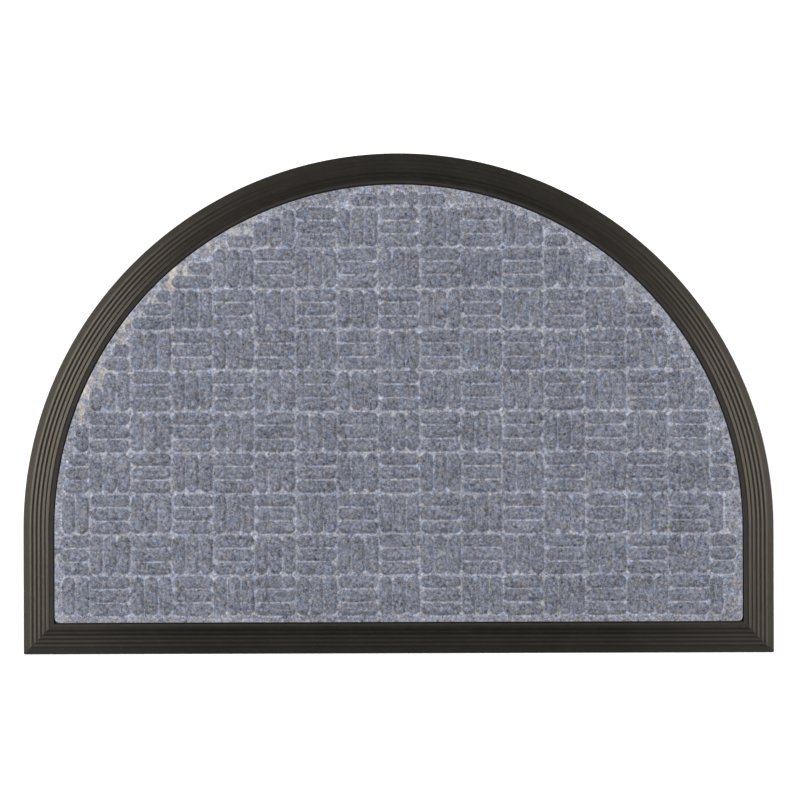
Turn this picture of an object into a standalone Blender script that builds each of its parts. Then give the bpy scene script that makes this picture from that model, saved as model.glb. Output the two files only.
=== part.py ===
"""Half-round doormat: a moulded rubber tray with a ribbed border, and a carpet insert with raised parquet bars.

Metres, +Z up. The mat lies flat. Its origin is the centre of its underside's bounding rectangle, +X runs along the
straight edge, and the arched edge faces +Y.
"""

import math
from collections import namedtuple

import bmesh
import bpy
from mathutils import Vector
from mathutils.geometry import delaunay_2d_cdt

MM = 0.001

# The outer edge: a half circle as wide as the mat, on two short straight legs
MAT_WIDTH = 914.4 * MM
MAT_DEPTH = 609.6 * MM
ARC_RADIUS = MAT_WIDTH / 2
SPRING_Y = MAT_DEPTH / 2 - ARC_RADIUS
ARC_STEPS = 60

# The rubber tray, from its outer edge inwards
BACKING = 3.0 * MM
EDGE_HEIGHT = 2.3 * MM
RIB_START = 7.3 * MM
RIB_COUNT = 5
RIB_PITCH = 5.2 * MM
RIB_STEPS = 6
RIB_RISE = 0.66 * MM
SLOPE_START_HEIGHT = 2.5 * MM
SLOPE_BEND = 22.9 * MM
SLOPE_BEND_HEIGHT = 4.3 * MM
LEDGE_HEIGHT = 7.4 * MM
CHANNEL_START = 37.2 * MM
CHANNEL_DRAFT = 0.3 * MM
BORDER = 38.6 * MM

# The carpet insert, which lies on the backing and leaves a narrow channel beside the ledge
GAP = 0.3 * MM
INSERT_BOTTOM = BACKING + GAP
GROUND_HEIGHT = 7.9 * MM
CROWN_HEIGHT = 9.5 * MM
INSERT_CHAMFER = 1.0 * MM
INSERT_CORNER = 6.0 * MM
CORNER_STEPS = 3

# The parquet relief: squares of three bars, turned a quarter from one square to the next
SQUARE_X = 50.3 * MM
SQUARE_Y = 49.8 * MM
MIDDLE_SQUARE_X = 1.2 * MM
LOWEST_LINE_Y = 46.0 * MM - MAT_DEPTH / 2
BARS_IN_SQUARE = 3
FLAT_BAR = {"length": 47.6 * MM, "width": 13.3 * MM}
UPRIGHT_BAR = {"length": 45.4 * MM, "width": 14.3 * MM}
BAR_POINT = 4.6 * MM
BAR_SLOPE = 1.4 * MM
PLAIN_MARGIN = 8.8 * MM
SHORTEST_RUN = 1.0 * MM

# Settings of the triangulation that fills the ground
FILL_INSIDE_OUTLINES = 1
MERGE_DISTANCE = 0.0001 * MM
SHARP_ANGLE = math.radians(32)

RUBBER = {"name": "black_rubber", "colour": (0.022, 0.021, 0.019, 1.0), "roughness": 0.62}
CARPET = {"name": "heather_carpet", "colour": (0.205, 0.215, 0.265, 1.0), "roughness": 0.95}

# The centre line of a bar runs from low to high along the bar, and lies at the place across on the other axis
Bar = namedtuple("Bar", "low high across half_width upright")


def clear_scene():
    for old in list(bpy.data.objects):
        bpy.data.objects.remove(old, do_unlink=True)


def corner(side, half, low, radius):
    """One bottom corner of an outline, sharp or rounded. The side is -1 for the left one and 1 for the right."""
    if radius == 0.0:
        return [(side * half, low)]
    start = math.pi if side < 0 else 1.5 * math.pi
    turns = [start + k / CORNER_STEPS * math.pi / 2 for k in range(CORNER_STEPS + 1)]
    centre_x, centre_y = side * (half - radius), low + radius
    return [(centre_x + radius * math.cos(turn), centre_y + radius * math.sin(turn)) for turn in turns]


def outline(inset, corner_radius=0.0):
    """The mat's outline moved inwards, anticlockwise: the two bottom corners, then the arc from right to left."""
    half = ARC_RADIUS - inset
    low = inset - MAT_DEPTH / 2
    points = corner(-1, half, low, corner_radius) + corner(1, half, low, corner_radius)
    for k in range(ARC_STEPS + 1):
        turn = k / ARC_STEPS * math.pi
        points.append((half * math.cos(turn), SPRING_Y + half * math.sin(turn)))
    return points


def slope_height(inset):
    """Height of the slope under the ribs, which is gentle at first and steeper beside the ledge."""
    if inset < SLOPE_BEND:
        share = (inset - RIB_START) / (SLOPE_BEND - RIB_START)
        return SLOPE_START_HEIGHT + share * (SLOPE_BEND_HEIGHT - SLOPE_START_HEIGHT)
    share = (inset - SLOPE_BEND) / (RIB_START + RIB_COUNT * RIB_PITCH - SLOPE_BEND)
    return SLOPE_BEND_HEIGHT + share * (LEDGE_HEIGHT - SLOPE_BEND_HEIGHT)


def border_profile():
    """Points across the top of the border, as (distance in from the outer edge, height)."""
    profile = [(0.0, EDGE_HEIGHT)]
    for step in range(RIB_COUNT * RIB_STEPS + 1):
        ribs = step / RIB_STEPS
        inset = RIB_START + ribs * RIB_PITCH
        profile.append((inset, slope_height(inset) + RIB_RISE * math.sin(ribs * math.pi) ** 2))
    profile.append((CHANNEL_START, LEDGE_HEIGHT))
    profile.append((CHANNEL_START + CHANNEL_DRAFT, BACKING))
    return profile


def add_ring(bm, points, height):
    return [bm.verts.new((x, y, height)) for x, y in points]


def join_rings(bm, lower, upper):
    """A band of quads between two rings that have the same number of points."""
    for k in range(len(lower)):
        n = (k + 1) % len(lower)
        bm.faces.new((lower[k], lower[n], upper[n], upper[k]))


def finish_object(bm, name, material):
    """Makes one named object of the mesh, with its faces pointing outwards."""
    bmesh.ops.recalc_face_normals(bm, faces=bm.faces)
    mesh = bpy.data.meshes.new(name)
    bm.to_mesh(mesh)
    bm.free()
    mesh.shade_smooth()
    mesh.set_sharp_from_angle(angle=SHARP_ANGLE)
    mesh.materials.append(material)
    made = bpy.data.objects.new(name, mesh)
    bpy.context.scene.collection.objects.link(made)
    return made


def make_material(look):
    material = bpy.data.materials.new(look["name"])
    material.use_nodes = True
    shader = material.node_tree.nodes["Principled BSDF"]
    shader.inputs["Base Color"].default_value = look["colour"]
    shader.inputs["Roughness"].default_value = look["roughness"]
    shader.inputs["Metallic"].default_value = 0.0
    return material


def make_rubber_tray(material):
    """One moulding: the flat backing, and the border that rises from a thin lip over its ribs to the ledge."""
    bm = bmesh.new()
    underside = add_ring(bm, outline(0.0), 0.0)
    bm.faces.new(reversed(underside))
    last = underside
    for inset, height in border_profile():
        ring = add_ring(bm, outline(inset), height)
        join_rings(bm, last, ring)
        last = ring
    bm.faces.new(last)
    return finish_object(bm, "rubber_tray", material)


def trimmed(bar):
    """The bar cut back so that its round ends keep off the plain margin, or None where too little is left."""
    reach = ARC_RADIUS - BORDER - PLAIN_MARGIN - bar.half_width
    from_centre = bar.across if bar.upright else max(bar.across - SPRING_Y, 0.0)
    if abs(from_centre) >= reach:
        return None
    half_chord = math.sqrt(reach**2 - from_centre**2)
    if bar.upright:
        low, high = bar.low, min(bar.high, SPRING_Y + half_chord)
    else:
        low, high = max(bar.low, -half_chord), min(bar.high, half_chord)
    return bar._replace(low=low, high=high) if high - low >= SHORTEST_RUN else None


def bars_of_square(centre_x, centre_y, upright):
    """The whole bars of one square, side by side."""
    size = UPRIGHT_BAR if upright else FLAT_BAR
    pitch = (SQUARE_X if upright else SQUARE_Y) / BARS_IN_SQUARE
    along, middle = (centre_y, centre_x) if upright else (centre_x, centre_y)
    half_width = size["width"] / 2
    half_run = size["length"] / 2 - half_width
    for k in range(BARS_IN_SQUARE):
        across = middle + (k - (BARS_IN_SQUARE - 1) / 2) * pitch
        yield Bar(along - half_run, along + half_run, across, half_width, upright)


def bar_layout():
    """Every bar of the parquet that fits on the insert, row by row from the straight edge."""
    columns = math.ceil(ARC_RADIUS / SQUARE_X)
    rows = math.ceil(MAT_DEPTH / SQUARE_Y)
    for row in range(rows):
        centre_y = LOWEST_LINE_Y + (row + 0.5) * SQUARE_Y
        for column in range(-columns, columns + 1):
            centre_x = MIDDLE_SQUARE_X + column * SQUARE_X
            upright = (row + column) % 2 == 0
            for bar in bars_of_square(centre_x, centre_y, upright):
                kept = trimmed(bar)
                if kept:
                    yield kept


def bar_outline(bar, slope):
    """Six points round a bar, with a blunt point at each end, drawn in by the slope and anticlockwise."""
    width = bar.half_width - slope
    shoulder = width - BAR_POINT * width / bar.half_width
    plan = [
        (bar.high + shoulder, -width),
        (bar.high + width, 0.0),
        (bar.high + shoulder, width),
        (bar.low - shoulder, width),
        (bar.low - width, 0.0),
        (bar.low - shoulder, -width),
    ]
    if bar.upright:
        return [(bar.across - side, along) for along, side in plan]
    return [(along, bar.across + side) for along, side in plan]


def fill_ground(bm, rings):
    """Fills the first ring, less the rings inside it, with triangles, and returns the vertices of each ring."""
    plan = [Vector(point) for ring in rings for point in ring]
    numbers = iter(range(len(plan)))
    faces = [[next(numbers) for _ in ring] for ring in rings]
    filled = delaunay_2d_cdt(plan, [], faces, FILL_INSIDE_OUTLINES, MERGE_DISTANCE)
    points, _, triangles, merged, _, inside = filled
    ground = [bm.verts.new((point.x, point.y, GROUND_HEIGHT)) for point in points]
    for corners, enclosing in zip(triangles, inside):
        if len(enclosing) == 1:
            bm.faces.new([ground[k] for k in corners])
    made = {number: ground[k] for k, same in enumerate(merged) for number in same}
    return [[made[number] for number in face] for face in faces]


def make_carpet_insert(material):
    """One sheet, cut to fit inside the border: its pressed ground, and the bars that stand up from it."""
    bm = bmesh.new()
    bottom = add_ring(bm, outline(BORDER, INSERT_CORNER), INSERT_BOTTOM)
    side = add_ring(bm, outline(BORDER, INSERT_CORNER), GROUND_HEIGHT - INSERT_CHAMFER)
    bm.faces.new(reversed(bottom))
    join_rings(bm, bottom, side)

    bars = list(bar_layout())
    edge = outline(BORDER + INSERT_CHAMFER, INSERT_CORNER - INSERT_CHAMFER)
    rim, *feet = fill_ground(bm, [edge] + [bar_outline(bar, 0.0) for bar in bars])
    join_rings(bm, side, rim)
    for bar, foot in zip(bars, feet):
        crown = add_ring(bm, bar_outline(bar, BAR_SLOPE), CROWN_HEIGHT)
        join_rings(bm, foot, crown)
        bm.faces.new(crown)
    return finish_object(bm, "carpet_insert", material)


def main():
    clear_scene()
    make_rubber_tray(make_material(RUBBER))
    make_carpet_insert(make_material(CARPET))


main()
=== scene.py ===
import math

import bmesh
import bpy
import numpy as np
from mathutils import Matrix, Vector, noise
from mathutils.bvhtree import BVHTree
from mathutils.geometry import delaunay_2d_cdt


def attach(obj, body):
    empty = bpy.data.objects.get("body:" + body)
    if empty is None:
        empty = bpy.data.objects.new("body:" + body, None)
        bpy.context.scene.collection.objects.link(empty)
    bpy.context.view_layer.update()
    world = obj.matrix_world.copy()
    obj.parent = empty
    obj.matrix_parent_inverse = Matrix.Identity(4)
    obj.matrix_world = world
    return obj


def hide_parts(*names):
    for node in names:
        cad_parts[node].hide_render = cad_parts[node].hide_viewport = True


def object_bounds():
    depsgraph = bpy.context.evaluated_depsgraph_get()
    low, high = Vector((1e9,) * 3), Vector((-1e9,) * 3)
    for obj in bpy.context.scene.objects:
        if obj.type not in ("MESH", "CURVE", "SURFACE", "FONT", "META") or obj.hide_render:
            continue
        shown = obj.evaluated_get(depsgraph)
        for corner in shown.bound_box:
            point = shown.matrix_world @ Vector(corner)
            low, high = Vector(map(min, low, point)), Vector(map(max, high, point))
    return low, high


# Half-round doormat: a ribbed rubber tray and a carpet insert with raised parquet bars.
# Metres, +Z up. The mat lies on the floor at z = 0 and its arched edge faces +Y.

mm = 0.001
noise.seed_set(1)  # or else each run stirs the meshes differently

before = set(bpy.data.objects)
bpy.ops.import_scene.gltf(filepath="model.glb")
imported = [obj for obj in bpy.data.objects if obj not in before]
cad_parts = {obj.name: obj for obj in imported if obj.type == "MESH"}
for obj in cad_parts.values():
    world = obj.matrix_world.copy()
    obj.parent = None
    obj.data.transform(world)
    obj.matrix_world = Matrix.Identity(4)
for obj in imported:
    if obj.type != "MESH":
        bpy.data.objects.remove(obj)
cadLow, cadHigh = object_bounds()
print("frame loaded")


# The outline, shared by both pieces: a half circle as wide as the mat, on two short straight legs

mat = {
    "width": cadHigh.x - cadLow.x,
    "depth": cadHigh.y - cadLow.y,
    "arcSteps": 220,
    "cornerSteps": 4,
    "straightStep": 9 * mm,
}
arcRadius = mat["width"] / 2
springY = mat["depth"] / 2 - arcRadius
straightEdgeY = -mat["depth"] / 2


def cornerPoints(side, half, low, radius):
    # one bottom corner, anticlockwise; side is -1 for the left one and 1 for the right
    start = math.pi if side < 0 else 1.5 * math.pi
    centreX = side * (half - radius)
    centreY = low + radius
    points = []
    for k in range(mat["cornerSteps"] + 1):
        turn = start + k / mat["cornerSteps"] * math.pi / 2
        points.append((centreX + radius * math.cos(turn), centreY + radius * math.sin(turn)))
    return points


def between(start, end, steps):
    # evenly spaced points between two ends, without the ends
    shares = [k / steps for k in range(1, steps)]
    return [(start[0] + (end[0] - start[0]) * s, start[1] + (end[1] - start[1]) * s) for s in shares]


def matOutline(inset, cornerRadius):
    # the mat's outline moved inwards, anticlockwise from the left corner
    half = arcRadius - inset
    low = straightEdgeY + inset
    leftCorner = cornerPoints(-1, half, low, cornerRadius)
    rightCorner = cornerPoints(1, half, low, cornerRadius)
    arc = []
    for k in range(mat["arcSteps"] + 1):
        turn = k / mat["arcSteps"] * math.pi
        arc.append((half * math.cos(turn), springY + half * math.sin(turn)))
    edgeSteps = round(mat["width"] / mat["straightStep"])
    legSteps = round((springY - straightEdgeY) / mat["straightStep"])
    bottomEdge = between(leftCorner[-1], rightCorner[0], edgeSteps)
    rightLeg = between(rightCorner[-1], arc[0], legSteps)
    leftLeg = between(arc[-1], leftCorner[0], legSteps)
    return leftCorner + bottomEdge + rightCorner + rightLeg + arc + leftLeg


# Mesh helpers

def addRing(bm, points, height):
    return [bm.verts.new((x, y, height)) for x, y in points]


def joinRings(bm, lower, upper):
    for k in range(len(lower)):
        n = (k + 1) % len(lower)
        bm.faces.new((lower[k], lower[n], upper[n], upper[k]))


def stir(bm, above, size, amount):
    # soft and moulded things are never quite true: everything above a height strays a little
    for vert in bm.verts:
        if vert.co.z > above:
            vert.co += noise.noise_vector(vert.co / size) * amount


def finishPiece(bm, name, material, sharpAngle):
    bmesh.ops.recalc_face_normals(bm, faces=bm.faces)
    mesh = bpy.data.meshes.new(name)
    bm.to_mesh(mesh)
    bm.free()
    mesh.shade_smooth()
    mesh.set_sharp_from_angle(angle=math.radians(sharpAngle))
    mesh.materials.append(material)
    made = bpy.data.objects.new(name, mesh)
    bpy.context.scene.collection.objects.link(made)
    return made


def keepNumbers(piece, name, numbers):
    # one number a point, which the material reads by its name
    piece.data.attributes.new(name, "FLOAT", "POINT").data.foreach_set("value", numbers)


# Node helpers

def setInputs(tree, node, inputs):
    # gives each socket its value, or the output that feeds it
    for socket, value in inputs.items():
        if isinstance(value, bpy.types.NodeSocket):
            tree.links.new(value, node.inputs[socket])
        else:
            node.inputs[socket].default_value = value


def addNode(tree, kind, inputs=None, **settings):
    node = tree.nodes.new(kind)
    for name, value in settings.items():
        setattr(node, name, value)
    setInputs(tree, node, inputs or {})
    return node


def objectPlace(tree):
    return addNode(tree, "ShaderNodeTexCoord").outputs["Object"]


def readNumber(tree, name):
    return addNode(tree, "ShaderNodeAttribute", attribute_name=name).outputs["Fac"]


def calculate(tree, operation, *values):
    node = addNode(tree, "ShaderNodeMath", dict(enumerate(values)), operation=operation)
    return node.outputs[0]


def combine(tree, operation, *vectors):
    # gives a vector, or a number where that is what the operation measures
    node = addNode(tree, "ShaderNodeVectorMath", dict(enumerate(vectors)), operation=operation)
    return node.outputs["Value" if operation in ("LENGTH", "DOT_PRODUCT") else "Vector"]


def scaleVector(tree, vector, factor):
    node = addNode(tree, "ShaderNodeVectorMath", {0: vector, "Scale": factor}, operation="SCALE")
    return node.outputs["Vector"]


def spread(tree, value, low, high, toLow=0.0, toHigh=1.0):
    # maps low..high softly to toLow..toHigh and holds it there
    sockets = {"Value": value, "From Min": low, "From Max": high, "To Min": toLow, "To Max": toHigh}
    return addNode(tree, "ShaderNodeMapRange", sockets, interpolation_type="SMOOTHSTEP").outputs[0]


def blendColours(tree, share, first, second):
    node = addNode(tree, "ShaderNodeMix", {0: share, 6: first, 7: second}, data_type="RGBA")
    return node.outputs[2]


def ramp(tree, value, stops):
    node = addNode(tree, "ShaderNodeValToRGB", {"Fac": value})
    elements = node.color_ramp.elements
    for element, (place, colour) in zip((elements[0], elements[1]), (stops[0], stops[-1])):
        element.position = place
        element.color = colour
    for place, colour in stops[1:-1]:
        elements.new(place).color = colour
    return node.outputs["Color"]


def addBump(tree, height, depth):
    sockets = {"Height": height, "Strength": 1.0, "Distance": depth}
    return addNode(tree, "ShaderNodeBump", sockets).outputs["Normal"]


def newGroup(name, numbers, output):
    group = bpy.data.node_groups.new(name, "ShaderNodeTree")
    for label, value in numbers.items():
        socket = group.interface.new_socket(label, in_out="INPUT", socket_type="NodeSocketFloat")
        socket.default_value = value
    group.interface.new_socket(output, in_out="OUTPUT", socket_type="NodeSocketFloat")
    given = addNode(group, "NodeGroupInput").outputs
    result = addNode(group, "NodeGroupOutput").inputs
    return group, given, result


def placeGroup(tree, group, **values):
    node = tree.nodes.new("ShaderNodeGroup")
    node.node_tree = group
    setInputs(tree, node, {label.capitalize(): value for label, value in values.items()})
    return node.outputs[0]


def newMaterial(name):
    material = bpy.data.materials.new(name)
    material.use_nodes = True
    tree = material.node_tree
    return material, tree, tree.nodes["Principled BSDF"]


def dimmed(colour, share):
    return tuple(value * share for value in colour[:3]) + (1.0,)


# Surface effects

def makeSpeckle():
    # soft spots of a real size, 0 to 1
    group, given, result = newGroup("speckle", {"Size": 2 * mm, "Detail": 2.0, "Seed": 0.0}, "Value")
    scale = calculate(group, "DIVIDE", 1.0, given["Size"])
    sockets = {"Vector": objectPlace(group), "W": given["Seed"], "Scale": scale, "Detail": given["Detail"]}
    spots = addNode(group, "ShaderNodeTexNoise", sockets, noise_dimensions="4D")
    group.links.new(spots.outputs["Fac"], result["Value"])
    return group


def makeStrands():
    # fine fibres that lie mostly one way, as streaks of a real length and width, 0 to 1
    numbers = {"Angle": 0.0, "Length": 7 * mm, "Width": 0.4 * mm, "Wander": 0.35, "Seed": 0.0}
    group, given, result = newGroup("strands", numbers, "Value")
    place = objectPlace(group)
    scale = calculate(group, "DIVIDE", 1.0, given["Length"])
    bends = addNode(group, "ShaderNodeTexNoise", {"Vector": place, "Scale": scale, "Detail": 1.0})
    centred = combine(group, "SUBTRACT", bends.outputs["Color"], (0.5, 0.5, 0.5))
    reach = calculate(group, "MULTIPLY", given["Wander"], given["Length"])
    moved = combine(group, "ADD", place, scaleVector(group, centred, reach))
    sockets = {"Vector": moved, "Angle": given["Angle"]}
    turned = addNode(group, "ShaderNodeVectorRotate", sockets, rotation_type="Z_AXIS").outputs[0]
    fine = calculate(group, "DIVIDE", 1.0, given["Width"])
    stretch = addNode(group, "ShaderNodeCombineXYZ", {"X": scale, "Y": fine, "Z": fine}).outputs[0]
    stretched = combine(group, "MULTIPLY", turned, stretch)
    sockets = {"Vector": stretched, "W": given["Seed"], "Scale": 1.0, "Detail": 1.0}
    streaks = addNode(group, "ShaderNodeTexNoise", sockets, noise_dimensions="4D")
    group.links.new(streaks.outputs["Fac"], result["Value"])
    return group


speckle = makeSpeckle()
strands = makeStrands()


# Rubber tray: the flat backing, and the border that rises from a thin lip over its ribs to the ledge

tray = {
    "backing": 3.0 * mm,
    "edgeHeight": 2.3 * mm,
    "edgeRounding": 1.0 * mm,
    "cornerRadius": 1.2 * mm,
    "innerCornerRadius": 0.4 * mm,
    "ribStart": 7.3 * mm,
    "ribCount": 5,
    "ribPitch": 5.2 * mm,
    # how far the outermost and the innermost rib stand up
    "ribRises": (0.60 * mm, 0.73 * mm),
    "ribPoints": 10,
    "slopeStartHeight": 2.5 * mm,
    "bendInset": 22.9 * mm,
    "bendHeight": 4.3 * mm,
    "ledgeHeight": 7.4 * mm,
    "ledgeRounding": 0.7 * mm,
    "roundingSteps": 4,
    "channelStart": 37.2 * mm,
    "channelDraft": 0.3 * mm,
    "border": 38.6 * mm,
    "waveSize": 70 * mm,
    "waveAmount": 0.12 * mm,
    "sharpAngle": 50,
    "look": {
        "black": (0.0080, 0.0075, 0.0068, 1.0),
        "shine": (1.0, 0.87, 0.71, 1.0),
        # a grey bloom in soft spots, and more of it on the outer ribs
        "bloom": (0.0180, 0.0166, 0.0146, 1.0),
        "bloomSize": 35 * mm,
        "bloomRange": (0.40, 0.75),
        "dustRange": (0.35, 0.70),
        "outerBloom": 0.60,
        "outerFade": (19 * mm, 26 * mm),
        # lint on the ledge
        "lint": (0.0272, 0.0263, 0.0262, 1.0),
        "lintRange": (0.20, 0.60),
        "lintFade": 1.2 * mm,
        # towards its two corners the straight edge gets painted light, a paler colour standing for the
        # softboxes' light on its ribs, and is duller
        "cornerLight": (0.0300, 0.0277, 0.0247, 1.0),
        "mitreFade": 1 * mm,
        "cornerReach": (30 * mm, 220 * mm),
        "cornerShare": 0.55,
        "cornerDullness": 0.04,
        # the legs are duller towards the straight edge
        "legReach": (10 * mm, 200 * mm),
        "legDullness": 0.09,
        "scuffLength": 18 * mm,
        "scuffWidth": 0.9 * mm,
        "scuffAngles": (0.5, 2.1),
        "scuffRange": (0.35, 0.65),
        "grainSize": 0.45 * mm,
        "grainDepth": 0.05 * mm,
        "finishRange": (0.25, 0.75),
        "roughnesses": (0.30, 0.41),
    },
}
ledgeStart = tray["ribStart"] + tray["ribCount"] * tray["ribPitch"]


def nearStraightEdge(tree):
    # masks of the straight border's ends, paler with painted light and duller, and of the dull lower parts of
    # the two legs
    look = tray["look"]
    parts = addNode(tree, "ShaderNodeSeparateXYZ", {0: objectPlace(tree)}).outputs
    fromSide = calculate(tree, "SUBTRACT", arcRadius, calculate(tree, "ABSOLUTE", parts["X"]))
    fromStraight = calculate(tree, "SUBTRACT", parts["Y"], straightEdgeY)
    pastMitre = calculate(tree, "SUBTRACT", fromSide, fromStraight)
    onStraight = spread(tree, pastMitre, -look["mitreFade"], look["mitreFade"])
    onLegs = calculate(tree, "SUBTRACT", 1.0, onStraight)
    nearSide = spread(tree, fromSide, *look["cornerReach"], 1.0, 0.0)
    lowDown = spread(tree, fromStraight, *look["legReach"], 1.0, 0.0)
    return calculate(tree, "MULTIPLY", onStraight, nearSide), calculate(tree, "MULTIPLY", onLegs, lowDown)


def makeRubber():
    look = tray["look"]
    material, tree, shader = newMaterial("blackRubber")
    fromEdge = readNumber(tree, "fromEdge")
    grain = placeGroup(tree, speckle, size=look["grainSize"], detail=2.0, seed=3.0)
    atCorner, lowOnLegs = nearStraightEdge(tree)

    spots = placeGroup(tree, speckle, size=look["bloomSize"], detail=4.0)
    spots = spread(tree, spots, *look["bloomRange"])
    dusty = calculate(tree, "MULTIPLY", spots, spread(tree, grain, *look["dustRange"]))
    outer = spread(tree, fromEdge, *look["outerFade"], look["outerBloom"], 0.0)
    colour = blendColours(tree, calculate(tree, "ADD", dusty, outer), look["black"], look["bloom"])
    onLedge = spread(tree, fromEdge, ledgeStart, ledgeStart + look["lintFade"])
    linty = calculate(tree, "MULTIPLY", onLedge, spread(tree, grain, *look["lintRange"]))
    colour = blendColours(tree, linty, colour, look["lint"])
    # painted light: the straight edge turns paler towards its two corners
    cornerLightShare = calculate(tree, "MULTIPLY", atCorner, look["cornerShare"])
    colour = blendColours(tree, cornerLightShare, colour, look["cornerLight"])

    size = {"length": look["scuffLength"], "width": look["scuffWidth"]}
    scuffs = []
    for angle in look["scuffAngles"]:
        scuffs.append(placeGroup(tree, strands, angle=angle, seed=5.0 + angle, **size))
    scuff = calculate(tree, "MULTIPLY", calculate(tree, "ADD", *scuffs), 0.5)
    finish = calculate(tree, "MULTIPLY", spread(tree, scuff, *look["scuffRange"]), 0.5)
    finish = calculate(tree, "MULTIPLY_ADD", grain, 0.5, finish)
    roughness = spread(tree, finish, *look["finishRange"], *look["roughnesses"])
    roughness = calculate(tree, "MULTIPLY_ADD", atCorner, look["cornerDullness"], roughness)
    roughness = calculate(tree, "MULTIPLY_ADD", lowOnLegs, look["legDullness"], roughness)

    finished = {"Base Color": colour, "Roughness": roughness, "Specular Tint": look["shine"]}
    setInputs(tree, shader, {**finished, "Normal": addBump(tree, grain, look["grainDepth"])})
    return material


def roundedProfile(inset, height, radius, rising):
    # a quarter circle on the edge between a wall and a flat top, as (inset, height) points
    points = []
    for k in range(tray["roundingSteps"] + 1):
        turn = k / tray["roundingSteps"] * math.pi / 2
        if rising:
            points.append((inset + radius * (1 - math.cos(turn)), height - radius * (1 - math.sin(turn))))
        else:
            points.append((inset - radius * (1 - math.sin(turn)), height - radius * (1 - math.cos(turn))))
    return points


def ribProfile():
    # round-backed ribs on a slope that climbs to the ledge, gently at first
    slopeInsets = [tray["ribStart"], tray["bendInset"], ledgeStart]
    slopeHeights = [tray["slopeStartHeight"], tray["bendHeight"], tray["ledgeHeight"]]
    points = []
    for k in range(tray["ribCount"] * tray["ribPoints"] + 1):
        ribs = k / tray["ribPoints"]
        inset = tray["ribStart"] + ribs * tray["ribPitch"]
        fullRise = float(np.interp(ribs, [0, tray["ribCount"]], tray["ribRises"]))
        rise = fullRise * math.sin(ribs * math.pi) ** 2
        points.append((inset, float(np.interp(inset, slopeInsets, slopeHeights)) + rise))
    return points


def makeTray():
    outerEdge = roundedProfile(0.0, tray["edgeHeight"], tray["edgeRounding"], rising=True)
    ledgeEdge = roundedProfile(tray["channelStart"], tray["ledgeHeight"], tray["ledgeRounding"], rising=False)
    channelFoot = (tray["channelStart"] + tray["channelDraft"], tray["backing"])
    bm = bmesh.new()
    last = addRing(bm, matOutline(0.0, tray["cornerRadius"]), 0.0)
    bm.faces.new(reversed(last))
    insets = [0.0] * len(last)
    for inset, height in outerEdge + ribProfile() + ledgeEdge + [channelFoot]:
        radius = max(tray["cornerRadius"] - inset, tray["innerCornerRadius"])
        ring = addRing(bm, matOutline(inset, radius), height)
        insets += [inset] * len(ring)
        joinRings(bm, last, ring)
        last = ring
    bm.faces.new(last)
    stir(bm, tray["backing"], tray["waveSize"], tray["waveAmount"])
    piece = finishPiece(bm, "rubberTray", makeRubber(), tray["sharpAngle"])
    keepNumbers(piece, "fromEdge", insets)
    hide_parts("rubber_tray")
    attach(piece, "root")
    return piece


trayPiece = makeTray()
print("rubber tray made,", len(trayPiece.data.polygons), "faces")


# Carpet insert: one pressed sheet, its ground and the parquet bars that stand up from it

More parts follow.
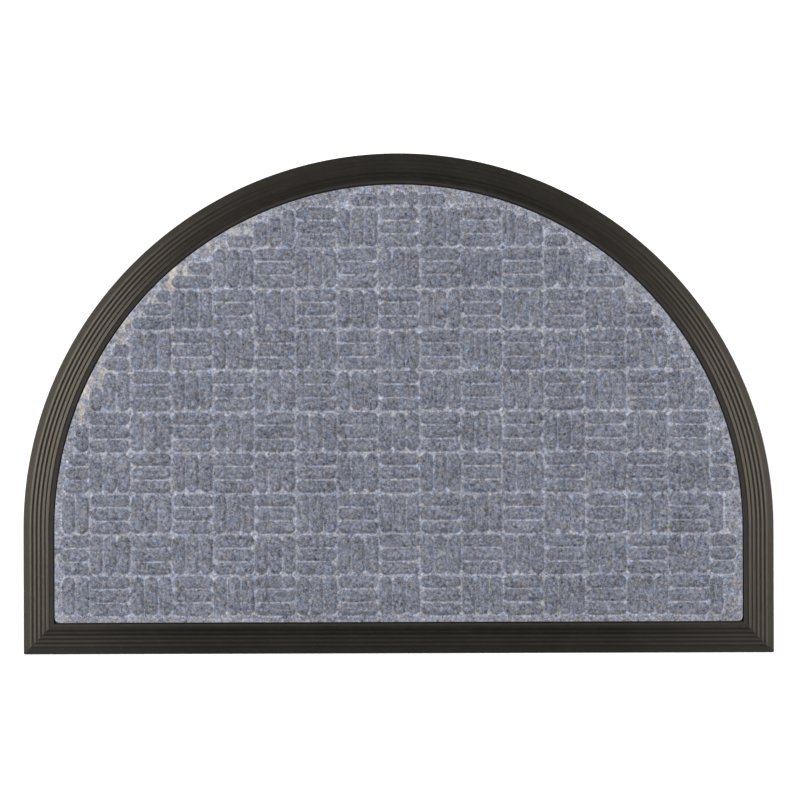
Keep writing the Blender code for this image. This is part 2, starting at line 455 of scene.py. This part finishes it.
insert = {
    # just clear of the backing, as the solid is
    "bottom": tray["backing"] + 0.3 * mm,
    "ground": 7.9 * mm,
    "crown": cadHigh.z,
    "cornerRadius": 6.0 * mm,
    "edgeRounding": 1.0 * mm,
    "edgeSteps": 4,
    "lumpSize": 6 * mm,
    "lumpAmount": 0.14 * mm,
    "sharpAngle": 60,
    "parquet": {
        "squareX": 50.3 * mm,
        "squareY": 49.8 * mm,
        "middleSquareX": 1.2 * mm,
        "lowestLineY": straightEdgeY + 46.0 * mm,
        "barsInSquare": 3,
        "flatBar": {"length": 47.6 * mm, "width": 13.3 * mm},
        "uprightBar": {"length": 45.4 * mm, "width": 14.3 * mm},
        "plainMargin": 8.8 * mm,
        "shortestRun": 1.0 * mm,
        "endSteps": 8,
        "runStep": 6 * mm,
        # how far in from a bar's outline, and the share of its rise there; the first lies on the ground
        "section": [
            (-1.1 * mm, 0.05),
            (0.0, 0.17),
            (0.6 * mm, 0.37),
            (1.3 * mm, 0.62),
            (2.1 * mm, 0.81),
            (3.1 * mm, 0.93),
            (4.6 * mm, 1.0),
        ],
        # the ground's own points: their spacing, and how far they keep from the insert's edge and the bars
        "lineStep": 6 * mm,
        "lineFromEdge": 4 * mm,
        "lineFromBar": 1.3 * mm,
    },
    "look": {
        "dark": (0.029, 0.031, 0.039, 1.0),
        "middle": (0.176, 0.187, 0.231, 1.0),
        "light": (0.370, 0.388, 0.465, 1.0),
        # single fibres on top of each other, and thicker tufts of them
        "fibreAngles": (0.15, 0.80, 1.35, 1.95, 2.60),
        "fibreLength": 8 * mm,
        "fibreWidth": 0.30 * mm,
        "fibreDepth": 0.30 * mm,
        "tuftAngles": (0.55, 1.60, 2.65),
        "tuftLength": 5 * mm,
        "tuftWidth": 1.15 * mm,
        "fleckSize": 3.2 * mm,
        "patchSize": 14 * mm,
        "cloudSize": 60 * mm,
        # mean value and weight of each scale in the heather
        "fibreLayer": (0.61, 1.12),
        "tuftLayer": (0.50, 2.42),
        "fleckLayer": (0.50, 1.32),
        "patchLayer": (0.50, 0.47),
        "cloudLayer": (0.50, 0.25),
        # the heather turns a little warmer and cooler from place to place
        "tintSize": 9 * mm,
        "tintRange": (0.25, 0.75),
        "warmTint": (1.070, 0.995, 0.895, 1.0),
        "coolTint": (0.935, 1.005, 1.115, 1.0),
        # distances from a bar's outline: where the pressed line begins and is full, and where it turns
        # from a narrow line into open ground; then how much lighter each of the two is
        "pressed": (0.2 * mm, 1.8 * mm),
        "open": (1.7 * mm, 4.2 * mm),
        "lineGain": 0.82,
        "openGain": 0.35,
        "lineTint": (1.02, 1.0, 0.96),
        # the darker rim along the top edge of a bar, partly the pile's own lean and partly painted shade on
        # the sloping shoulder: where it begins and where it ends
        "rimBegins": (-6.5 * mm, -1.8 * mm),
        "rimEnds": (-1.4 * mm, -0.2 * mm),
        "rimLeanAndShade": 0.11,
        # the pressed ground is worn to cream in patches along part of the arched edge
        "worn": (0.510, 0.476, 0.430),
        "wornTones": (0.55, 1.35),
        "wornTurn": 143,
        "wornFacing": (0.82, 0.97),
        "wornReach": 38 * mm,
        "wornFullAt": 6 * mm,
        "wornSize": 20 * mm,
        "wornSpots": (0.46, 0.62),
        "wornShare": 0.90,
        # from the darkest fibres to the lightest
        "roughnesses": (0.98, 0.92),
        "sheen": 0.12,
    },
}
parquet = insert["parquet"]
insertRadius = arcRadius - tray["border"]
insertLow = straightEdgeY + tray["border"]


def trimmed(bar):
    # cuts a bar back so that its round ends keep off the plain margin, or drops it where too little is left
    reach = insertRadius - parquet["plainMargin"] - bar["halfWidth"]
    fromCentre = bar["across"] if bar["upright"] else max(bar["across"] - springY, 0.0)
    if abs(fromCentre) >= reach:
        return None
    halfChord = math.sqrt(reach**2 - fromCentre**2)
    low = bar["low"] if bar["upright"] else max(bar["low"], -halfChord)
    high = min(bar["high"], halfChord + (springY if bar["upright"] else 0.0))
    return dict(bar, low=low, high=high) if high - low >= parquet["shortestRun"] else None


def barsOfSquare(centreX, centreY, upright):
    # three whole bars side by side; each one's middle line runs from low to high, at the place across
    size = parquet["uprightBar" if upright else "flatBar"]
    pitch = parquet["squareX" if upright else "squareY"] / parquet["barsInSquare"]
    along, middle = (centreY, centreX) if upright else (centreX, centreY)
    halfWidth = size["width"] / 2
    halfRun = size["length"] / 2 - halfWidth
    for k in range(parquet["barsInSquare"]):
        across = middle + (k - (parquet["barsInSquare"] - 1) / 2) * pitch
        yield {
            "low": along - halfRun,
            "high": along + halfRun,
            "across": across,
            "halfWidth": halfWidth,
            "upright": upright,
        }


def parquetBars():
    # row by row from the straight edge, turned a quarter from one square to the next
    columns = math.ceil(arcRadius / parquet["squareX"])
    rows = math.ceil(mat["depth"] / parquet["squareY"])
    bars = []
    for row in range(rows):
        centreY = parquet["lowestLineY"] + (row + 0.5) * parquet["squareY"]
        for column in range(-columns, columns + 1):
            centreX = parquet["middleSquareX"] + column * parquet["squareX"]
            wholeBars = barsOfSquare(centreX, centreY, (row + column) % 2 == 0)
            bars += [kept for kept in map(trimmed, wholeBars) if kept]
    return bars


def barOutline(bar, inset):
    # round-ended outline drawn in by the inset: an end, a long side, the other end, the other side
    radius = bar["halfWidth"] - inset
    runSteps = max(1, round((bar["high"] - bar["low"]) / parquet["runStep"]))
    plan = []
    for end, far, side in (("high", "low", 1), ("low", "high", -1)):
        for k in range(parquet["endSteps"] + 1):
            turn = (k / parquet["endSteps"] - 0.5) * math.pi
            plan.append((bar[end] + side * radius * math.cos(turn), side * radius * math.sin(turn)))
        plan += between((bar[end], side * radius), (bar[far], side * radius), runSteps)
    if bar["upright"]:
        return [(bar["across"] - across, along) for along, across in plan]
    return [(along, bar["across"] + across) for along, across in plan]


def closeCrown(bm, bar, ring):
    # fills the top of a bar from its middle line outwards
    ends = parquet["endSteps"]
    runSteps = (len(ring) - 2 * ends) // 2
    height = ring[0].co.z
    low, high = (bar["low"], bar["across"]), (bar["high"], bar["across"])
    line = [high] + between(high, low, runSteps) + [low]
    spine = addRing(bm, [(y, x) for x, y in line] if bar["upright"] else line, height)
    for k in range(runSteps):
        near, far = ring[ends + k], ring[ends + k + 1]
        bm.faces.new((near, far, spine[k + 1], spine[k]))
        near, far = ring[-k], ring[-k - 1]
        bm.faces.new((spine[k], spine[k + 1], far, near))
    for k in range(ends):
        bm.faces.new((ring[k], ring[k + 1], spine[0]))
        start = ends + runSteps + k
        bm.faces.new((ring[start], ring[start + 1], spine[-1]))


def distanceToBars(bars, places):
    # how far each place lies from the nearest bar's outline, negative inside a bar
    middle = np.array([(bar["low"] + bar["high"]) / 2 for bar in bars])
    halfRun = np.array([(bar["high"] - bar["low"]) / 2 for bar in bars])
    across = np.array([bar["across"] for bar in bars])
    upright = np.array([bar["upright"] for bar in bars])
    halfWidth = np.array([bar["halfWidth"] for bar in bars])
    x, y = np.asarray(places)[:, 0, None], np.asarray(places)[:, 1, None]
    beyondEnd = np.maximum(np.abs(np.where(upright, y, x) - middle) - halfRun, 0.0)
    beside = np.where(upright, x, y) - across
    return (np.hypot(beyondEnd, beside) - halfWidth).min(axis=1)


def insideInsert(places, clear):
    # whether each place lies that far inside the insert's edge
    fromCentre = np.hypot(places[..., 0], np.maximum(places[..., 1] - springY, 0.0))
    return (fromCentre < insertRadius - clear) & (places[..., 1] > insertLow + clear)


def linePoints(bars):
    # points along the middle lines between the bars and the squares, where those are clear of every bar
    pitchX = parquet["squareX"] / parquet["barsInSquare"]
    pitchY = parquet["squareY"] / parquet["barsInSquare"]
    lineX = parquet["middleSquareX"] + parquet["squareX"] / 2
    columns = np.arange(math.ceil((-insertRadius - lineX) / pitchX), insertRadius / pitchX) * pitchX + lineX
    rows = np.arange(0, mat["depth"] / pitchY) * pitchY + parquet["lowestLineY"]
    alongX = np.arange(-insertRadius, insertRadius, parquet["lineStep"])
    alongY = np.arange(insertLow, mat["depth"] / 2, parquet["lineStep"])
    acrossRows = np.stack(np.meshgrid(alongX, rows), axis=-1).reshape(-1, 2)
    acrossColumns = np.stack(np.meshgrid(columns, alongY), axis=-1).reshape(-1, 2)
    places = np.concatenate([acrossRows, acrossColumns])
    inside = insideInsert(places, parquet["lineFromEdge"])
    clear = distanceToBars(bars, places) > parquet["lineFromBar"]
    return places[inside & clear].tolist()


def fillGround(bm, rings, loose, height):
    # fills the first ring, less the rings inside it, and returns the vertices of each ring
    plan = [Vector(point) for ring in rings for point in ring]
    numbers = iter(range(len(plan)))
    faces = [[next(numbers) for _ in ring] for ring in rings]
    plan += [Vector(point) for point in loose]
    keepInside = 1
    mergeDistance = 0.0001 * mm
    filled = delaunay_2d_cdt(plan, [], faces, keepInside, mergeDistance)
    points, _, triangles, merged, _, inside = filled
    ground = [bm.verts.new((point.x, point.y, height)) for point in points]
    for corners, enclosing in zip(triangles, inside):
        if len(enclosing) == 1:
            bm.faces.new([ground[k] for k in corners])
    made = {number: ground[k] for k, same in enumerate(merged) for number in same}
    return [[made[number] for number in face] for face in faces]


def layFibres(tree):
    # single fibres, each lying on top of those before it
    look = insert["look"]
    size = {"length": look["fibreLength"], "width": look["fibreWidth"]}
    fibres = 0.0
    for number, angle in enumerate(look["fibreAngles"]):
        fibre = placeGroup(tree, strands, angle=angle, seed=number * 4.0, **size)
        fibres = calculate(tree, "MAXIMUM", fibre, fibres)
    return fibres


def gatherTufts(tree):
    look = insert["look"]
    size = {"length": look["tuftLength"], "width": look["tuftWidth"]}
    tufts = 0.0
    for number, angle in enumerate(look["tuftAngles"]):
        tuft = placeGroup(tree, strands, angle=angle, seed=30.0 + number * 4.0, **size)
        tufts = calculate(tree, "MULTIPLY_ADD", tuft, 1 / len(look["tuftAngles"]), tufts)
    return tufts


def mixHeather(tree, fibres):
    # the heather's shade, from 0 in the dark to 1 in the light, and its colour
    look = insert["look"]
    textures = {
        "fibreLayer": fibres,
        "tuftLayer": gatherTufts(tree),
        "fleckLayer": placeGroup(tree, speckle, size=look["fleckSize"], detail=2.0, seed=1.0),
        "patchLayer": placeGroup(tree, speckle, size=look["patchSize"], detail=2.0, seed=2.0),
        "cloudLayer": placeGroup(tree, speckle, size=look["cloudSize"], detail=1.0, seed=3.0),
    }
    shade = 0.5
    for name, texture in textures.items():
        mean, weight = look[name]
        shade = calculate(tree, "MULTIPLY_ADD", calculate(tree, "SUBTRACT", texture, mean), weight, shade)
    colour = ramp(tree, shade, [(0.0, look["dark"]), (0.5, look["middle"]), (1.0, look["light"])])
    tones = placeGroup(tree, speckle, size=look["tintSize"], detail=2.0, seed=8.0)
    tones = spread(tree, tones, *look["tintRange"])
    tint = blendColours(tree, tones, look["coolTint"], look["warmTint"])
    return shade, combine(tree, "MULTIPLY", colour, tint)


def pressLines(tree, colour):
    # a mask of the pressed ground, and the colour with that ground paler and the bars' rims darker, partly
    # with painted shade
    look = insert["look"]
    fromBar = readNumber(tree, "fromBar")
    pressed = spread(tree, fromBar, *look["pressed"])
    level = spread(tree, fromBar, *look["open"], look["lineGain"], look["openGain"])
    # the rim is partly the pile's lean and partly painted shade on the bars' shoulders
    rimBegins = spread(tree, fromBar, *look["rimBegins"])
    rimEnds = spread(tree, fromBar, *look["rimEnds"], 1.0, 0.0)
    rim = calculate(tree, "MULTIPLY", rimBegins, rimEnds)
    gain = calculate(tree, "MULTIPLY_ADD", pressed, level, 1.0)
    gain = calculate(tree, "MULTIPLY_ADD", rim, -look["rimLeanAndShade"], gain)
    colour = scaleVector(tree, colour, gain)
    tinted = combine(tree, "MULTIPLY", colour, look["lineTint"])
    return pressed, blendColours(tree, pressed, colour, tinted)


def wearPatches(tree, colour, shade, pressed):
    look = insert["look"]
    fromCentre = combine(tree, "SUBTRACT", objectPlace(tree), (0.0, springY, 0.0))
    radius = combine(tree, "LENGTH", fromCentre)
    turn = math.radians(look["wornTurn"])
    along = combine(tree, "DOT_PRODUCT", fromCentre, (math.cos(turn), math.sin(turn), 0.0))
    facing = spread(tree, calculate(tree, "DIVIDE", along, radius), *look["wornFacing"])
    nearRim = spread(tree, radius, insertRadius - look["wornReach"], insertRadius - look["wornFullAt"])
    spots = placeGroup(tree, speckle, size=look["wornSize"], detail=3.0, seed=6.0)
    spots = spread(tree, spots, *look["wornSpots"])
    worn = calculate(tree, "MULTIPLY", calculate(tree, "MULTIPLY", facing, nearRim), spots)
    worn = calculate(tree, "MULTIPLY", worn, calculate(tree, "MULTIPLY", pressed, look["wornShare"]))
    tone = spread(tree, shade, 0.0, 1.0, *look["wornTones"])
    return blendColours(tree, worn, colour, scaleVector(tree, look["worn"], tone))


def makeCarpet():
    look = insert["look"]
    material, tree, shader = newMaterial("heatherCarpet")
    fibres = layFibres(tree)
    shade, colour = mixHeather(tree, fibres)
    pressed, colour = pressLines(tree, colour)
    colour = wearPatches(tree, colour, shade, pressed)
    roughness = spread(tree, shade, 0.0, 1.0, *look["roughnesses"])
    finished = {"Base Color": colour, "Roughness": roughness, "Sheen Weight": look["sheen"]}
    setInputs(tree, shader, {**finished, "Normal": addBump(tree, fibres, look["fibreDepth"])})
    return material


def makeInsert():
    bm = bmesh.new()
    last = addRing(bm, matOutline(tray["border"], insert["cornerRadius"]), insert["bottom"])
    bm.faces.new(reversed(last))
    for k in range(insert["edgeSteps"]):
        turn = k / insert["edgeSteps"] * math.pi / 2
        drawnIn = insert["edgeRounding"] * (1 - math.cos(turn))
        height = insert["ground"] - insert["edgeRounding"] * (1 - math.sin(turn))
        ring = addRing(bm, matOutline(tray["border"] + drawnIn, insert["cornerRadius"] - drawnIn), height)
        joinRings(bm, last, ring)
        last = ring

    bars = parquetBars()
    drawnIn = insert["edgeRounding"]
    edge = matOutline(tray["border"] + drawnIn, insert["cornerRadius"] - drawnIn)
    skirt, skirtShare = parquet["section"][0]
    rise = insert["crown"] - insert["ground"]
    rings = [edge] + [barOutline(bar, skirt) for bar in bars]
    rim, *skirts = fillGround(bm, rings, linePoints(bars), insert["ground"])
    joinRings(bm, last, rim)
    for bar, lower in zip(bars, skirts):
        for vert in lower:
            vert.co.z += rise * skirtShare
        for drawnIn, share in parquet["section"][1:]:
            upper = addRing(bm, barOutline(bar, drawnIn), insert["ground"] + rise * share)
            joinRings(bm, lower, upper)
            lower = upper
        closeCrown(bm, bar, lower)
    bm.verts.index_update()
    distances = distanceToBars(bars, [vert.co[:2] for vert in bm.verts])
    stir(bm, insert["bottom"], insert["lumpSize"], insert["lumpAmount"])
    piece = finishPiece(bm, "carpetInsert", makeCarpet(), insert["sharpAngle"])
    keepNumbers(piece, "fromBar", distances)
    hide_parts("carpet_insert")
    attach(piece, "root")
    return piece


insertPiece = makeInsert()
insertPiece.data.calc_loop_triangles()
print("carpet insert made,", len(insertPiece.data.loop_triangles), "triangles")


# Loose fibres: the ends and loops that stand up from the felt, pale ones and dark ones

looseFibres = {
    "length": (5 * mm, 11 * mm),
    "radius": 0.11 * mm,
    "bend": 0.7,
    # how far a fibre arches over the felt, and how far its ends dip into it
    "lift": (0.10 * mm, 0.45 * mm),
    "rooted": 0.20 * mm,
    "clearOfEdge": 2.0 * mm,
    "toneSize": 3 * mm,
    "dimmest": 0.80,
    "finishRange": (0.3, 0.7),
    "roughnesses": (0.6, 0.8),
    "unevenness": 0.02 * mm,
    # name, colour, number and seed
    "kinds": [
        ("paleFibres", (0.490, 0.500, 0.545, 1.0), 15000, 1),
        ("darkFibres", (0.095, 0.100, 0.122, 1.0), 6000, 2),
    ],
}


def fibrePaths(number, rng):
    # curved paths of four points each; twice as many are drawn, and those that leave the insert are dropped
    draws = number * 2
    heading = rng.uniform(0.0, 2 * math.pi, draws)
    bend = rng.uniform(-looseFibres["bend"], looseFibres["bend"], draws)
    step = rng.uniform(*looseFibres["length"], draws) / 3
    startX = rng.uniform(-insertRadius, insertRadius, draws)
    startY = rng.uniform(insertLow, springY + insertRadius, draws)
    points = [np.stack([startX, startY], axis=-1)]
    for _ in range(3):
        points.append(points[-1] + step[:, None] * np.stack([np.cos(heading), np.sin(heading)], axis=-1))
        heading = heading + bend
    paths = np.stack(points, axis=1)
    inside = insideInsert(paths, looseFibres["clearOfEdge"]).all(axis=1)
    return paths[inside][:number]


def layOnFelt(paths, rng):
    # both ends dip into the felt, and the middle arches over it
    points = [vert.co for vert in insertPiece.data.vertices]
    felt = BVHTree.FromPolygons(points, [face.vertices for face in insertPiece.data.polygons])
    above = 2 * insert["crown"]
    down = Vector((0, 0, -1))
    heights = [felt.ray_cast(Vector((x, y, above)), down)[0].z for x, y in paths.reshape(-1, 2)]
    heights = np.array(heights).reshape(len(paths), 4)
    heights[:, [0, 3]] -= looseFibres["rooted"]
    heights[:, [1, 2]] += rng.uniform(*looseFibres["lift"], (len(paths), 2))
    return np.concatenate([paths, heights[..., None]], axis=-1)


def fibreShapes(spines):
    # three-sided fibres with pointed ends, as points and triangles
    # point 0 is one end, 1 to 3 and 4 to 6 are the two rings between, and 7 is the other end
    verts = [spines[:, 0]]
    for k in (1, 2):
        along = spines[:, k + 1, :2] - spines[:, k - 1, :2]
        along /= np.linalg.norm(along, axis=1, keepdims=True)
        side = np.stack([-along[:, 1], along[:, 0], np.zeros(len(along))], axis=-1)
        for turn in np.radians([90, 210, 330]):
            offset = math.cos(turn) * side + math.sin(turn) * np.array([0.0, 0.0, 1.0])
            verts.append(spines[:, k] + looseFibres["radius"] * offset)
    verts.append(spines[:, 3])
    triangles = []
    for k in range(3):
        n = (k + 1) % 3
        triangles += [(0, 1 + n, 1 + k), (1 + k, 1 + n, 4 + n), (1 + k, 4 + n, 4 + k), (7, 4 + k, 4 + n)]
    firstVerts = len(verts) * np.arange(len(spines))
    faces = (np.array(triangles)[None] + firstVerts[:, None, None]).reshape(-1, 3)
    return np.stack(verts, axis=1).reshape(-1, 3), faces


def makeFibreMaterial(name, colour):
    material, tree, shader = newMaterial(name)
    tone = placeGroup(tree, speckle, size=looseFibres["toneSize"], detail=1.0, seed=11.0)
    toned = blendColours(tree, tone, dimmed(colour, looseFibres["dimmest"]), colour)
    roughness = spread(tree, tone, *looseFibres["finishRange"], *looseFibres["roughnesses"])
    bump = addBump(tree, tone, looseFibres["unevenness"])
    setInputs(tree, shader, {"Base Color": toned, "Roughness": roughness, "Normal": bump})
    return material


def makeLooseFibres(name, colour, number, seed):
    rng = np.random.default_rng(seed)
    paths = fibrePaths(number, rng)
    verts, faces = fibreShapes(layOnFelt(paths, rng))
    mesh = bpy.data.meshes.new(name)
    mesh.from_pydata(verts.tolist(), [], faces.tolist())
    mesh.shade_smooth()
    mesh.materials.append(makeFibreMaterial(name, colour))
    piece = bpy.data.objects.new(name, mesh)
    bpy.context.scene.collection.objects.link(piece)
    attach(piece, "root")
    print(name, "made,", len(faces), "triangles")
    return piece


fibrePieces = [makeLooseFibres(*kind) for kind in looseFibres["kinds"]]


# Floor, light and camera

studio = {
    "floorSize": 30.0,
    "floorColour": (1.0, 1.0, 1.0, 1.0),
    "floorToneSize": 0.4,
    "floorDimmest": 0.99,
    "floorRoughness": 0.9,
    # keeps the floor pale far from the softboxes
    "floorGlow": 0.45,
    # name, azimuth and elevation in degrees, distance, width, height, radiance
    "softboxes": [
        ("leftSoftbox", 168, 36, 3.0, 2.4, 2.6, 5.4),
        ("rightSoftbox", 7, 36, 3.0, 2.1, 2.9, 4.0),
    ],
    "surroundings": (0.12, 0.12, 0.12, 1.0),
}
picture = {
    # in pixels: the picture's width, the mat's width, and the mat's middle from the top left corner
    "pixels": 800,
    "matPixels": 750,
    "matCentre": (398.1, 403.3),
    "lens": 135.0,
    "sensor": 36.0,
    "roll": -0.17,
}


def makeFloor():
    material, tree, shader = newMaterial("paleFloor")
    tone = placeGroup(tree, speckle, size=studio["floorToneSize"], detail=1.0, seed=9.0)
    dimmer = dimmed(studio["floorColour"], studio["floorDimmest"])
    colour = blendColours(tree, tone, studio["floorColour"], dimmer)
    finished = {"Base Color": colour, "Roughness": studio["floorRoughness"], "Specular IOR Level": 0.0}
    setInputs(tree, shader, {**finished, "Emission Color": colour, "Emission Strength": studio["floorGlow"]})
    bm = bmesh.new()
    bmesh.ops.create_grid(bm, x_segments=1, y_segments=1, size=studio["floorSize"] / 2)
    finishPiece(bm, "floor", material, sharpAngle=30)


def makeSoftbox(name, azimuth, elevation, distance, width, height, radiance):
    light = bpy.data.lights.new(name, "AREA")
    light.shape = "RECTANGLE"
    light.size = width
    light.size_y = height
    light.energy = radiance * math.pi * width * height
    turn, lift = math.radians(azimuth), math.radians(elevation)
    box = bpy.data.objects.new(name, light)
    box.location = (
        distance * math.cos(lift) * math.cos(turn),
        distance * math.cos(lift) * math.sin(turn),
        distance * math.sin(lift),
    )
    box.rotation_euler = (math.pi / 2 - lift, 0.0, turn + math.pi / 2)
    bpy.context.scene.collection.objects.link(box)


def makeSurroundings():
    world = bpy.data.worlds.new("studio")
    world.use_nodes = True
    world.node_tree.nodes["Background"].inputs["Color"].default_value = studio["surroundings"]
    bpy.context.scene.world = world
    bpy.context.scene.view_settings.view_transform = "Standard"


def makeCamera():
    # looks straight down from where the mat takes up its share of the picture
    lens = bpy.data.cameras.new("camera")
    lens.lens = picture["lens"]
    lens.sensor_width = picture["sensor"]
    pixel = mat["width"] / picture["matPixels"]
    middle = picture["pixels"] / 2
    height = pixel * picture["pixels"] * picture["lens"] / picture["sensor"]
    camera = bpy.data.objects.new("camera", lens)
    x, y = picture["matCentre"]
    camera.location = ((middle - x) * pixel, (y - middle) * pixel, height)
    camera.rotation_euler = (0.0, 0.0, math.radians(picture["roll"]))
    bpy.context.scene.collection.objects.link(camera)
    bpy.context.scene.camera = camera


makeFloor()
for softbox in studio["softboxes"]:
    makeSoftbox(*softbox)
makeSurroundings()
makeCamera()
print("studio made")
